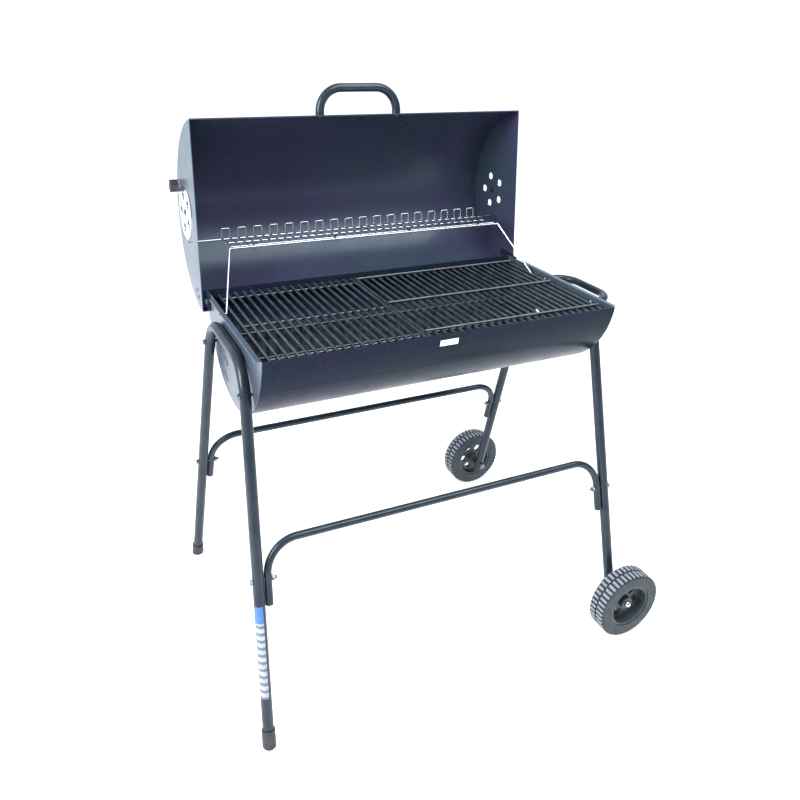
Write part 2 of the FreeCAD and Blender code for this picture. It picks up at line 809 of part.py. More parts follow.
def make_warming_rack():
    """Wire rack, local origin on its back pivot, local -Y towards its front pivot."""
    wire = worth("rack_wire_diameter")
    rod = worth("rack_rod_diameter")
    hook = worth("rack_hook_diameter")
    pitch = worth("rack_rod_pitch")
    deck = RACK_FRONT - RACK_BACK
    front = -deck.Length
    rod_z = (wire + rod) / 2 - 0.3
    rail_y = front + RAIL_SETBACK
    fence_y = 4
    fence_z = worth("rack_fence_height")
    reach = worth("rack_pin_reach")
    count = int(worth("rack_hairpin_count"))
    deck_half = pitch * (2 * count - 1) / 2
    pieces = [straight_wire(V(-reach, 0, 0), V(reach, 0, 0), wire)]
    for y, z in ((rail_y, 0.6), (rail_y / 2, 0)):
        pieces.append(straight_wire(V(-deck_half - wire, y, z), V(deck_half + wire, y, z), wire))
    for index in range(count):
        left = (2 * index) * pitch - deck_half
        right = left + pitch
        path = [V(left, rail_y - wire / 2, rod_z), V(left, fence_y, rod_z),
                V(left, fence_y, fence_z), V(right, fence_y, fence_z),
                V(right, fence_y, rod_z), V(right, rail_y - wire / 2, rod_z)]
        pieces.append(bent_wire(path, HAIRPIN_BEND, rod))
    hook_radius = wire / 2 + HOOK_GAP + hook / 2
    for x in HOOK_SPOTS:
        path = [V(x, rail_y + wire, hook_radius), V(x, front - hook_radius, hook_radius),
                V(x, front - hook_radius, -hook_radius), V(x, front + wire, -hook_radius)]
        pieces.append(bent_wire(path, hook_radius - 0.01, hook))
    turn = FreeCAD.Rotation(X_AXIS, math.degrees(math.atan2(-deck.z, -deck.y)))
    new_solid("warming_rack", weld(pieces), FreeCAD.Placement(RACK_BACK, turn))


RAIL_SETBACK = 10
HAIRPIN_BEND = 2.2
HOOK_GAP = 0.4
HOOK_SPOTS = (-255, -85, 85, 255)


def make_swing_wire():
    """Bent wire under the rack's front: a crossbar, two splayed legs and two end pins."""
    arm = RACK_FRONT - SWING_PIVOT
    rise = math.degrees(math.atan2(arm.z, arm.y))
    placement = FreeCAD.Placement(SWING_PIVOT, FreeCAD.Rotation(X_AXIS, rise - 90))
    corners = [("0", f"{arm.Length:.4f}"),
               ("crossbar_half_length", f"{arm.Length:.4f}"),
               ("swing_leg_reach", "0"),
               ("swing_pin_reach", "0")]
    bent_tube("rack_swing_wire", corners, "rack_wire_diameter * 0.75", "rack_wire_diameter",
              "0", placement)


# ---------------------------------------------------------------- stand

def make_arch_tube(name, side):
    """Bent tube round one end of the bowl; the two legs of that end plug into it."""
    turn = FreeCAD.Placement(V(0, 0, 0), FreeCAD.Rotation(Z_AXIS, 90))
    corner_y = "floor_half_width - leg_slope * arch_height"
    end_y = "floor_half_width - leg_slope * leg_joint_height"
    corners = [("0", "arch_height"), (corner_y, "arch_height"), (end_y, "leg_joint_height")]
    body = bent_tube(f"arch_tube_{name}", corners, "arch_bend_radius", "tube_diameter",
                     "tube_wall", frame_placement(side).multiply(turn))
    for end in ENDS.values():
        bolt = bowl_bolt_placement(side, end)
        out = bolt.Rotation.multVec(V(side, 0, 0))
        drill(body, "bolt_diameter / 2 + bolt_clearance", "tube_diameter * 2",
              bolt.Base - out * worth("tube_diameter"), out)


def make_leg(name, side, end):
    """Straight tube with a narrowed neck at its top that plugs into the arch."""
    body = new_body(f"leg_{name}", leg_placement(side, end))
    wheeled = side > 0
    bottom = up_leg("wheeled_leg_end_height") if wheeled else worth("foot_cap_floor")
    joint = worth("leg_joint_height") / math.cos(LEAN)
    tube = new_sketch(body, "Tube", "XY_Plane", f"{bottom:.4f}")
    add_circle(tube, "0", "0", "tube_diameter / 2")
    add_circle(tube, "0", "0", "tube_diameter / 2 - 2 * tube_wall")
    pad(body, tube, f"{joint - bottom:.4f}")
    neck = new_sketch(body, "Neck", "XY_Plane", f"{joint:.4f}")
    add_circle(neck, "0", "0", "tube_diameter / 2 - tube_wall - bolt_clearance")
    add_circle(neck, "0", "0", "tube_diameter / 2 - 2 * tube_wall")
    pad(body, neck, "leg_neck_length")
    bolt = stretcher_bolt_placement(side, end)
    out = bolt.Rotation.multVec(V(side, 0, 0))
    drill(body, "bolt_diameter / 2 + bolt_clearance", "tube_diameter * 2",
          bolt.Base - out * worth("tube_diameter"), out)
    if wheeled:
        drill(body, "axle_diameter / 2 + bolt_clearance", "60",
              V(AXLE_X, end * (worth("wheel_offset") - 60), worth("wheel_radius")),
              V(0, end, 0))


def stretcher_bolt_placement(side, end):
    """Where a stretcher bolt crosses a leg's axis, its +X along the bolt."""
    along = V(0, 0, up_leg("stretcher_bolt_height"))
    return leg_placement(side, end).multiply(FreeCAD.Placement(along, FreeCAD.Rotation()))


def make_stretcher(name, end):
    """Tube between two legs, bent down at both ends along their inner sides."""
    lean = math.degrees(LEAN)
    base = V(0, end * worth("floor_half_width"), 0)
    placement = FreeCAD.Placement(base, FreeCAD.Rotation(X_AXIS, end * lean))
    scale = f"{1 / math.cos(LEAN):.6f}"
    beside = "(floor_half_length - tube_diameter / 2 - stretcher_diameter / 2 - loose_clearance)"
    top_x = f"({beside} - frame_slope * stretcher_height)"
    end_x = f"({beside} - frame_slope * stretcher_end_height)"
    corners = [("0", f"stretcher_height * {scale}"),
               (top_x, f"stretcher_height * {scale}"),
               (end_x, f"stretcher_end_height * {scale}")]
    body = bent_tube(f"stretcher_{name}", corners, "stretcher_bend_radius",
                     "stretcher_diameter", "tube_wall", placement)
    for side in SIDES.values():
        bolt = stretcher_bolt_placement(side, end)
        inward = bolt.Rotation.multVec(V(-side, 0, 0))
        drill(body, "bolt_diameter / 2 + bolt_clearance", "tube_diameter * 2",
              bolt.Base, inward)


def make_foot_cap(name, end):
    """Cap over the lower end of a left leg, cut flat where it stands on the floor."""
    placement = leg_placement(-1, end)
    bottom = worth("foot_cap_floor")
    below = 20
    cap = Part.makeCylinder(worth("foot_cap_diameter / 2"), worth("foot_cap_height") + below,
                            V(0, 0, -below))
    bore = Part.makeCylinder(worth("tube_diameter / 2"), worth("foot_cap_height"),
                             V(0, 0, bottom))
    ground = Part.makeBox(200, 200, 100, V(-100, -100, -100))
    at_foot = V(-worth("floor_half_length"), end * worth("floor_half_width"), 0)
    ground.Placement = placement.inverse().multiply(FreeCAD.Placement(at_foot,
                                                                      FreeCAD.Rotation()))
    new_solid(f"foot_cap_{name}", cap.cut(bore).cut(ground), placement)


def make_leg_label():
    """Blank strip wrapped part way round the front left leg."""
    body = new_body("leg_label", leg_placement(-1, -1))
    bottom = f"{up_leg('label_bottom'):.4f}"
    sketch = new_sketch(body, "Strip", "XY_Plane", bottom)
    middle = math.radians(LABEL_DIRECTION)
    half = math.radians(LABEL_WRAP / 2)
    arcs = []
    for radius in ("tube_diameter / 2 + label_thickness", "tube_diameter / 2"):
        circle = Part.Circle(V(0, 0, 0), Z_AXIS, worth(radius))
        arcs.append(sketch.addGeometry(Part.ArcOfCircle(circle, middle - half, middle + half),
                                       False))
        pin_point(sketch, arcs[-1], 3, "0", "0")
        hold_radius(sketch, arcs[-1], radius)
    join_ends(sketch, arcs[0], 1, arcs[1], 1)
    join_ends(sketch, arcs[0], 2, arcs[1], 2)
    pad(body, sketch, f"{up_leg('label_top') - up_leg('label_bottom'):.4f}")


LABEL_DIRECTION = 240
LABEL_WRAP = 90


# ---------------------------------------------------------------- wheels

def wheel_placement(end):
    """Wheel frame: local Z is the axle, pointing outwards from the wheel's inner face."""
    base = V(AXLE_X, end * worth("wheel_offset"), worth("wheel_radius"))
    return FreeCAD.Placement(base, FreeCAD.Rotation(X_AXIS, -90 * end))


def make_tyre(name, end):
    """Tyre with two rows of lugs on either side of a centre groove."""
    body = new_body(f"tyre_{name}", wheel_placement(end))
    tread = "wheel_radius"
    root = "wheel_radius - tread_depth"
    shoulder = "wheel_radius - tread_depth - 1"
    profile = new_sketch(body, "Profile", "XZ_Plane")
    add_polygon(profile, [
        ("hub_radius", "0"), (shoulder, "0"), (tread, "3"),
        (tread, "wheel_width / 2 - 2"), (root, "wheel_width / 2 - 2"),
        (root, "wheel_width / 2 + 2"), (tread, "wheel_width / 2 + 2"),
        (tread, "wheel_width - 3"), (shoulder, "wheel_width"), ("hub_radius", "wheel_width")])
    revolve(body, profile)
    cuts = []
    half_pitch = math.pi / worth("lug_count")
    rows = (("-1", "wheel_width / 2", 0), ("wheel_width / 2", "wheel_width + 1", half_pitch))
    for low, high, turn in rows:
        cuts.append(add_lug_gap(body, low, high, turn))
    polar_pattern(body, cuts, "Z_Axis", "lug_count")


def add_lug_gap(body, low, high, turn):
    """Gap between two lugs, cut across half of the tread."""
    middle = worth("wheel_radius")
    start = middle - worth("tread_depth") + LUG_GAP_FLOOR
    sketch = new_sketch(body, "Gap", "XY_Plane", low)
    corners = []
    for out, aside in ((start, -1), (middle + 2, -1), (middle + 2, 1), (start, 1)):
        side = aside * LUG_GAP / 2
        corners.append((f"{out * math.cos(turn) - side * math.sin(turn):.4f}",
                        f"{out * math.sin(turn) + side * math.cos(turn):.4f}"))
    add_polygon(sketch, corners)
    pocket = body.newObject("PartDesign::Pocket", "LugGap")
    pocket.Profile = sketch
    pocket.Reversed = True
    bind(pocket, "Length", f"({high}) - ({low})")
    sketch.Visibility = False
    return pocket


LUG_GAP = 5
LUG_GAP_FLOOR = 0.4


def make_wheel_hub(name, end):
    """Moulded hub: boss, web with round pockets, and the rim under the tyre."""
    body = new_body(f"wheel_hub_{name}", wheel_placement(end))
    bore = "axle_diameter / 2 + pivot_clearance"
    rim = "hub_radius - hub_rim_thickness"
    profile = new_sketch(body, "Profile", "XZ_Plane")
    add_polygon(profile, [
        (bore, "0"), ("hub_boss_radius", "0"), ("hub_boss_radius", "hub_web_start"),
        (rim, "hub_web_start"), (rim, "2"), ("hub_radius", "2"),
        ("hub_radius", "wheel_width - 2"), (rim, "wheel_width - 2"), (rim, "hub_web_end"),
        ("hub_boss_radius", "hub_web_end"), ("hub_boss_radius", "hub_boss_end"),
        (bore, "hub_boss_end")])
    revolve(body, profile)
    pocket = new_sketch(body, "Pocket", "XY_Plane")
    add_circle(pocket, "hub_radius * 0.6", "0", "hub_radius * 0.2")
    cut = cut_through(body, pocket)
    polar_pattern(body, [cut], "Z_Axis", str(HUB_POCKETS))


HUB_POCKETS = 6


# ---------------------------------------------------------------- fasteners

def hexagon_head(radius, height):
    """Hexagonal prism on local Z, from 0 to its height."""
    corners = []
    for index in range(7):
        angle = math.radians(60 * index)
        corners.append(V(radius * math.cos(angle), radius * math.sin(angle), 0))
    face = Part.Face(Part.makePolygon(corners))
    return face.extrude(V(0, 0, height))


def hexagon_bolt(diameter, length, head_radius, head_height):
    """Bolt with its shank on local +Z from 0 and its head below 0."""
    head = hexagon_head(head_radius, head_height)
    head.translate(V(0, 0, -head_height))
    return head.fuse(Part.makeCylinder(diameter / 2, length))


def hexagon_nut(hole_diameter, radius, height):
    """Nut on local Z, from 0 to its height."""
    return hexagon_head(radius, height).cut(Part.makeCylinder(hole_diameter / 2, height))


def domed_screw(diameter, length, head_radius, head_height):
    """Round-headed screw with its shank on local +Z and a domed head below 0."""
    dome_radius = (head_radius ** 2 + head_height ** 2) / (2 * head_height)
    ball = Part.makeSphere(dome_radius, V(0, 0, dome_radius - head_height))
    head = ball.common(Part.makeCylinder(head_radius, head_height, V(0, 0, -head_height)))
    return head.fuse(Part.makeCylinder(diameter / 2, length))


def placed(shape, point, direction):
    copy = shape.copy()
    copy.Placement = pointing(point, direction)
    return copy


def make_hinge_bolts():
    diameter = worth("bolt_diameter")
    head = BRACKET_NEAR + worth("bracket_thickness") + FASTENER_GAP
    length = head - HALF_LENGTH + SHEET + 6
    bolt = hexagon_bolt(diameter, length, worth("head_radius"), worth("head_height"))
    nut = hexagon_nut(diameter, worth("head_radius"), worth("head_height"))
    bolts = []
    nuts = []
    for side in SIDES.values():
        inward = V(-side, 0, 0)
        bolts.append(placed(bolt, at_x(HINGE, side * head), inward))
        nuts.append(placed(nut, at_x(HINGE, side * (HALF_LENGTH - SHEET)), inward))
    new_solid("hinge_bolts", Part.Compound(bolts))
    new_solid("hinge_nuts", Part.Compound(nuts))


def make_hinge_rivets():
    """Rivets through each lid end and the bracket behind it, a head on either side."""
    height = worth("rivet_head_height")
    grip = SHEET + worth("bracket_thickness")
    rivet = domed_screw(worth("bolt_diameter"), grip, worth("head_radius"), height)
    inner_head = Part.makeCylinder(worth("head_radius"), height, V(0, 0, grip))
    rivet = rivet.fuse(inner_head)
    rivets = []
    for side in SIDES.values():
        for depth, level in BRACKET_RIVETS:
            rivets.append(placed(rivet, V(side * LID_END_OUTER, depth, level), V(-side, 0, 0)))
    new_solid("hinge_rivets", Part.Compound(rivets))


def make_vent_rivets():
    height = worth("rivet_head_height")
    grip = SHEET + VENT_GAP + worth("vent_disc_thickness") + VENT_GAP
    rivet = domed_screw(worth("bolt_diameter"), grip, worth("head_radius") + 1, height)
    rivet = rivet.fuse(Part.makeCylinder(worth("head_radius"), height, V(0, 0, grip)))
    rivets = []
    for side in SIDES.values():
        start = at_x(vent_centre(), side * (LID_END_INNER + grip))
        rivets.append(placed(rivet, start, V(-side, 0, 0)))
    new_solid("vent_rivets", Part.Compound(rivets))


def make_lid_handle_screws():
    """Screws from inside the lid into the feet of its handle."""
    screw = domed_screw(worth("bolt_diameter"), 20, worth("head_radius"), 3)
    inner = worth("lid_radius - sheet_thickness")
    rise = worth("lid_handle_height - lid_centre_height")
    wall = math.sqrt(inner ** 2 - (abs(rise) + worth("head_radius")) ** 2)
    screws = []
    for foot in (-1, 1):
        across = worth("lid_handle_offset") + foot * worth("lid_handle_spacing / 2")
        start = OPEN_LID.multVec(V(across, -wall, worth("lid_handle_height")))
        screws.append(placed(screw, start, OPEN_LID.Rotation.multVec(V(0, -1, 0))))
    new_solid("lid_handle_screws", Part.Compound(screws))


def make_side_handle_screws():
    screw = domed_screw(worth("bolt_diameter"), 14, worth("head_radius"), 3)
    screws = [placed(screw, side_handle_foot(foot) - V(SHEET, 0, 0), X_AXIS)
              for foot in (-1, 1)]
    new_solid("side_handle_screws", Part.Compound(screws))


def make_bowl_bolts():
    """Bolts through the arch tubes into the bowl ends, nuts inside the bowl."""
    diameter = worth("bolt_diameter")
    radius = worth("tube_diameter / 2")
    bolt = hexagon_bolt(diameter, 2 * radius + 12, worth("head_radius"), worth("head_height"))
    nut = hexagon_nut(diameter, worth("head_radius"), worth("head_height"))
    bolts = []
    nuts = []
    for side in SIDES.values():
        for end in ENDS.values():
            crossing = bowl_bolt_placement(side, end)
            inward = crossing.Rotation.multVec(V(-side, 0, 0))
            bolts.append(placed(bolt, crossing.Base - inward * radius, inward))
            to_plate = (abs(crossing.Base.x) - HALF_LENGTH + SHEET) / math.cos(TILT)
            nuts.append(placed(nut, crossing.Base + inward * (to_plate + FASTENER_GAP), inward))
    new_solid("bowl_bolts", Part.Compound(bolts))
    new_solid("bowl_nuts", Part.Compound(nuts))


def make_stretcher_bolts():
    """Bolts through the legs and the stretcher ends beside them, ends pointing inwards."""
    diameter = worth("bolt_diameter")
    radius = worth("tube_diameter / 2")
    through = worth("tube_diameter + stretcher_diameter + loose_clearance")
    bolt = hexagon_bolt(diameter, through + 9, worth("head_radius"), worth("head_height"))
    nut = hexagon_nut(diameter, worth("head_radius"), worth("head_height"))
    bolts = []
    nuts = []
    for side in SIDES.values():
        for end in ENDS.values():
            crossing = stretcher_bolt_placement(side, end)
            inward = crossing.Rotation.multVec(V(-side, 0, 0))
            head = crossing.Base - inward * radius
            bolts.append(placed(bolt, head, inward))
            nuts.append(placed(nut, head + inward * (through + FASTENER_GAP), inward))
    new_solid("stretcher_bolts", Part.Compound(bolts))
    new_solid("stretcher_nuts", Part.Compound(nuts))


def make_axles():
    """Axle bolts through the right legs, spacers beside them and nuts on the outside."""
    diameter = worth("axle_diameter")
    height = worth("wheel_radius")
    leg_y = worth("floor_half_width") - worth("leg_slope") * height
    half_leg = worth("tube_diameter / 2") / math.cos(LEAN)
    # the hexagon and spacer stand clear of the leaning tube's side
    slack = AXLE_SEAT * math.tan(LEAN)
    head_y = leg_y - half_leg - slack
    spacer_start = leg_y + half_leg + slack
    wheel = worth("wheel_offset")
    boss_end = wheel + worth("hub_boss_end")
    bolt = hexagon_bolt(diameter, boss_end + NUT_DEPTH - head_y, AXLE_SEAT, NUT_DEPTH)
    spacer = Part.makeCylinder(AXLE_SEAT, wheel - FASTENER_GAP - spacer_start)
    spacer = spacer.cut(Part.makeCylinder(diameter / 2, wheel))
    nut = domed_nut(diameter, AXLE_SEAT - 1, NUT_DEPTH)
    bolts = []
    spacers = []
    nuts = []
    for end in ENDS.values():
        outward = V(0, end, 0)
        bolts.append(placed(bolt, V(AXLE_X, end * head_y, height), outward))
        spacers.append(placed(spacer, V(AXLE_X, end * spacer_start, height), outward))
        nuts.append(placed(nut, V(AXLE_X, end * (boss_end + FASTENER_GAP), height), outward))
    new_solid("axle_bolts", Part.Compound(bolts))
    new_solid("axle_spacers", Part.Compound(spacers))
    new_solid("hub_nuts", Part.Compound(nuts))


AXLE_SEAT = 8
NUT_DEPTH = 6


def domed_nut(diameter, radius, depth):
    """Closed nut: a short cylinder under a dome, with a blind hole for the bolt's end."""
    collar = Part.makeCylinder(radius, 1)
    dome = Part.makeSphere(radius).common(Part.makeCylinder(radius, radius))
    dome.translate(V(0, 0, 1))
    return collar.fuse(dome).cut(Part.makeCylinder(diameter / 2, depth))


# ---------------------------------------------------------------- build

def centre_on_floor(things):
    """Move every sub-part so that the origin is under the middle of them all."""
    outer = FreeCAD.BoundBox()
    for thing in things:
        outer.add(thing.Shape.optimalBoundingBox(False, False))
    shift = V(outer.Center.x, outer.Center.y, 0)
    for thing in things:
        thing.Placement = FreeCAD.Placement(thing.Placement.Base - shift,
                                            thing.Placement.Rotation)


make_bowl_shell()
for side_name, side_sign in SIDES.items():
    make_bowl_end(side_name, side_sign)
    make_lid_end(side_name, side_sign)
    make_hinge_bracket(side_name, side_sign)
    make_vent_disc(side_name, side_sign)
    make_vent_knob(side_name, side_sign)
    make_arch_tube(side_name, side_sign)
    for end_name, end_sign in ENDS.items():
        make_leg(f"{end_name}_{side_name}", side_sign, end_sign)
for end_name, end_sign in ENDS.items():
    make_grate_ledge(end_name, end_sign)
    make_stretcher(end_name, end_sign)
    make_foot_cap(end_name, end_sign)
    make_tyre(end_name, end_sign)
    make_wheel_hub(end_name, end_sign)
make_cooking_grate("left", -worth("grate_reach"), worth("grate_split") - GRATE_GAP / 2, False)
make_cooking_grate("right", worth("grate_split") + GRATE_GAP / 2 + 5, worth("grate_reach"), True)
make_charcoal_grate()
make_badge()
make_side_handle()
make_lid_shell()
make_lid_handle()
make_warming_rack()
make_swing_wire()
make_leg_label()
make_hinge_bolts()
make_hinge_rivets()
make_vent_rivets()
make_lid_handle_screws()
make_side_handle_screws()
make_bowl_bolts()
make_stretcher_bolts()
make_axles()
doc.recompute()
centre_on_floor(sub_parts)
doc.recompute()

for thing in doc.Objects:
    if "Invalid" in thing.State or "Error" in thing.State:
        raise RuntimeError(f"{thing.Label} did not compute: {thing.State}")
for thing in sub_parts:
    if thing.Shape.isNull() or not thing.Shape.isValid():
        raise RuntimeError(f"{thing.Label} has no valid shape")
for thing in sub_parts:
    thing.Shape.exportStep(f"parts/{thing.Label}.step")
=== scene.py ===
import json
import math

import bpy
from mathutils import Matrix, Vector


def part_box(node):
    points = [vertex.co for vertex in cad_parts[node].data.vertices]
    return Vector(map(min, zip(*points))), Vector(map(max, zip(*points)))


# Looks for the barrel charcoal grill: materials on the CAD nodes, a pale studio and the
# camera. Metres, +Z up, in the CAD's frame. Colours are linear red, green and blue.

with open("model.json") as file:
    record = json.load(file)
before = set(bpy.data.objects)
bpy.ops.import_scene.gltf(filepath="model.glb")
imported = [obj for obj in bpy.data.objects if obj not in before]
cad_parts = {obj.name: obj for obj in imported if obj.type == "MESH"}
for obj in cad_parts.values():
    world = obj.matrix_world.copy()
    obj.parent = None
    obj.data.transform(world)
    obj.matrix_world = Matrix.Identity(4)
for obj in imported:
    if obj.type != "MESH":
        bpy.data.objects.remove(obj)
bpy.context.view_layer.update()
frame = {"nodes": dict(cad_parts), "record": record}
nodes = frame["nodes"]


# ---------------------------------------------------------------- shared positions

def middle(node):
    low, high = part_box(node)
    return (low + high) / 2


bowl_middle = middle("bowl_shell")
floor_under_bowl = Vector((bowl_middle.x, bowl_middle.y, 0))


# ---------------------------------------------------------------- node graph helper

class Graph:
    """Short calls for building one material's node tree."""

    def __init__(self, name):
        self.material = bpy.data.materials.new(name)
        self.material.use_nodes = True
        self.tree = self.material.node_tree
        self.shader = self.tree.nodes["Principled BSDF"]

    def node(self, kind, **settings):
        made = self.tree.nodes.new(kind)
        for key, value in settings.items():
            setattr(made, key, value)
        return made

    def link(self, source, target):
        self.tree.links.new(source, target)

    def put(self, **values):
        """Set the shader's own sockets; an underscore stands for a space."""
        for key, value in values.items():
            self.shader.inputs[key.replace("_", " ")].default_value = value

    def place(self, scale=(1, 1, 1), turn=(0, 0, 0)):
        """Object coordinates in metres, scaled and turned."""
        coordinates = self.node("ShaderNodeTexCoord")
        mapping = self.node("ShaderNodeMapping")
        mapping.inputs["Scale"].default_value = scale
        mapping.inputs["Rotation"].default_value = turn
        self.link(coordinates.outputs["Object"], mapping.inputs["Vector"])
        return mapping.outputs["Vector"]

    def noise(self, scale, detail=4, roughness=0.55, where=None, distortion=0.0):
        texture = self.node("ShaderNodeTexNoise")
        texture.inputs["Scale"].default_value = scale
        texture.inputs["Detail"].default_value = detail
        texture.inputs["Roughness"].default_value = roughness
        texture.inputs["Distortion"].default_value = distortion
        self.link(where or self.place(), texture.inputs["Vector"])
        return texture.outputs["Fac"]

    def span(self, value, low, high, to_low=0.0, to_high=1.0):
        """Map a value from one range to another, held at its ends."""
        mapped = self.node("ShaderNodeMapRange")
        for key, number in (("From Min", low), ("From Max", high),
                            ("To Min", to_low), ("To Max", to_high)):
            mapped.inputs[key].default_value = number
        self.link(value, mapped.inputs["Value"])
        return mapped.outputs["Result"]

    def math(self, operation, first, second):
        made = self.node("ShaderNodeMath", operation=operation)
        for socket, value in zip(made.inputs, (first, second)):
            if isinstance(value, (int, float)):
                socket.default_value = value
            else:
                self.link(value, socket)
        return made.outputs["Value"]

    def mix(self, factor, first, second):
        """Blend two colours, each a tuple or a socket."""
        made = self.node("ShaderNodeMix", data_type="RGBA")
        if isinstance(factor, (int, float)):
            made.inputs["Factor"].default_value = factor
        else:
            self.link(factor, made.inputs["Factor"])
        for key, value in (("A", first), ("B", second)):
            socket = [s for s in made.inputs if s.name == key and s.type == "RGBA"][0]
            if isinstance(value, tuple):
                socket.default_value = value + (1.0,)
            else:
                self.link(value, socket)
        return [s for s in made.outputs if s.type == "RGBA"][0]

    def bump(self, layers):
        """Stack bump layers of (height, strength, distance in metres)."""
        normal = None
        for height, strength, distance in layers:
            made = self.node("ShaderNodeBump")
            made.inputs["Strength"].default_value = strength
            made.inputs["Distance"].default_value = distance
            self.link(height, made.inputs["Height"])
            if normal is not None:
                self.link(normal, made.inputs["Normal"])
            normal = made.outputs["Normal"]
        self.link(normal, self.shader.inputs["Normal"])

    def edges(self, radius):
        """1 on convex and concave edges, 0 on open surface."""
        bevel = self.node("ShaderNodeBevel", samples=4)
        bevel.inputs["Radius"].default_value = radius
        geometry = self.node("ShaderNodeNewGeometry")
        dot = self.node("ShaderNodeVectorMath", operation="DOT_PRODUCT")
        self.link(bevel.outputs["Normal"], dot.inputs[0])
        self.link(geometry.outputs["Normal"], dot.inputs[1])
        return self.span(dot.outputs["Value"], 0.99, 0.80)

    def colour(self, socket):
        self.link(socket, self.shader.inputs["Base Color"])

    def roughness(self, socket):
        self.link(socket, self.shader.inputs["Roughness"])


# ---------------------------------------------------------------- materials

def make_enamel(name, teal, purple, rough_low, rough_high, gloss):
    """Sprayed enamel on sheet: orange peel, slow waves, dust and worn edges."""
    g = Graph(name)
    patches = g.span(g.noise(2.6, detail=3), 0.40, 0.60)
    colour = g.mix(patches, teal, purple)
    dust = g.span(g.noise(260, detail=3), 0.40, 0.80, 0.0, 0.16)
    colour = g.mix(dust, colour, (0.06, 0.08, 0.11))
    worn = g.math("MULTIPLY", g.edges(0.0005), 0.35)
    colour = g.mix(worn, colour, (0.12, 0.15, 0.19))
    g.colour(colour)
    g.roughness(g.span(g.noise(16, detail=2), 0.2, 0.8, rough_low, rough_high))
    g.put(Coat_Weight=0.05, Coat_Roughness=0.10, Specular_IOR_Level=gloss,
          Specular_Tint=(0.66, 0.90, 1.0, 1.0))
    peel = g.noise(900, detail=2)
    waves = g.noise(5, detail=1)
    g.bump([(waves, 0.25, 0.004), (peel, 0.12, 0.0003)])
    return g.material


def make_tube_paint():
    """Black powder coat on tube: fine pebbling, scuffs and rubbed edges."""
    g = Graph("tube_paint_look")
    colour = g.mix(g.span(g.noise(25), 0.35, 0.65), (0.008, 0.012, 0.019),
                   (0.018, 0.024, 0.034))
    scuffs = g.noise(45, detail=6, roughness=0.75, where=g.place(scale=(1, 1, 0.25)))
    scuffs = g.span(scuffs, 0.66, 0.74, 0.0, 0.3)
    colour = g.mix(scuffs, colour, (0.10, 0.11, 0.13))
    g.colour(colour)
    g.roughness(g.span(g.noise(30, detail=4), 0.3, 0.7, 0.30, 0.46))
    g.put(Coat_Weight=0.25, Coat_Roughness=0.15, Specular_IOR_Level=0.25,
          Specular_Tint=(0.70, 0.86, 1.0, 1.0), Coat_Tint=(0.85, 0.93, 1.0, 1.0))
    g.bump([(g.noise(1400, detail=2), 0.15, 0.0002)])
    return g.material


def make_grate_enamel():
    """Dark enamelled rods: glossy, a little uneven, with grey burnt patches."""
    g = Graph("grate_enamel_look")
    colour = g.mix(g.span(g.noise(40, detail=5), 0.4, 0.65), (0.016, 0.022, 0.029),
                   (0.034, 0.046, 0.058))
    g.colour(colour)
    g.roughness(g.span(g.noise(120, detail=4), 0.3, 0.7, 0.22, 0.42))
    g.put(Coat_Weight=0.5, Coat_Roughness=0.15)
    g.bump([(g.noise(500, detail=3), 0.2, 0.0004)])
    return g.material


def make_chrome(name, tint, rough_low, rough_high):
    """Bright plating: faint haze, drawing lines and small stains."""
    g = Graph(name)
    stain = g.span(g.noise(70, detail=5), 0.55, 0.75, 0.0, 0.35)
    g.colour(g.mix(stain, tint, (0.45, 0.45, 0.48)))
    g.roughness(g.span(g.noise(180, detail=5), 0.3, 0.7, rough_low, rough_high))
    g.put(Metallic=1.0)
    g.bump([(g.noise(1200, detail=2), 0.08, 0.0002)])
    return g.material


def make_zinc():
    """Zinc plated steel with a dull speckle and brushed lines."""
    g = Graph("zinc_look")
    g.colour(g.mix(g.span(g.noise(300, detail=5), 0.35, 0.7), (0.10, 0.11, 0.13),
                   (0.24, 0.26, 0.29)))
    g.roughness(g.span(g.noise(200), 0.3, 0.7, 0.28, 0.5))
    g.put(Metallic=1.0)
    g.bump([(g.noise(900, where=g.place(scale=(0.2, 1, 1))), 0.15, 0.0002)])
    return g.material


def make_tyre():
    """Dark moulded tyre whose lug tops are painted paler, a painted highlight for light
    falling from above.
    """
    g = Graph("tyre_look")
    colour = g.mix(g.span(g.noise(90, detail=6), 0.35, 0.7), (0.014, 0.024, 0.030),
                   (0.028, 0.042, 0.050))
    low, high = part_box("tyre_front")
    coordinates = g.node("ShaderNodeTexCoord")
    from_axle = g.node("ShaderNodeVectorMath", operation="SUBTRACT")
    g.link(coordinates.outputs["Object"], from_axle.inputs[0])
    from_axle.inputs[1].default_value = (low + high) / 2
    flattened = g.node("ShaderNodeVectorMath", operation="MULTIPLY")
    g.link(from_axle.outputs["Vector"], flattened.inputs[0])
    flattened.inputs[1].default_value = (1, 0, 1)
    reach = g.node("ShaderNodeVectorMath", operation="LENGTH")
    g.link(flattened.outputs["Vector"], reach.inputs[0])
    radius = (high.z - low.z) / 2
    lug_top = g.span(reach.outputs["Value"], radius - 0.0024, radius - 0.0010)
    # painted highlight: the outermost tread surface, broken up by noise, is made paler as if
    # lit from above
    wear_and_painted_highlight = g.math("MULTIPLY", lug_top, g.span(g.noise(130, detail=5), 0.3, 0.6, 0.6, 1.0))
    g.colour(g.mix(wear_and_painted_highlight, colour, (0.20, 0.21, 0.25)))
    g.roughness(g.span(g.noise(150), 0.3, 0.7, 0.55, 0.75))
    g.bump([(g.noise(700, detail=4), 0.35, 0.0005)])
    return g.material


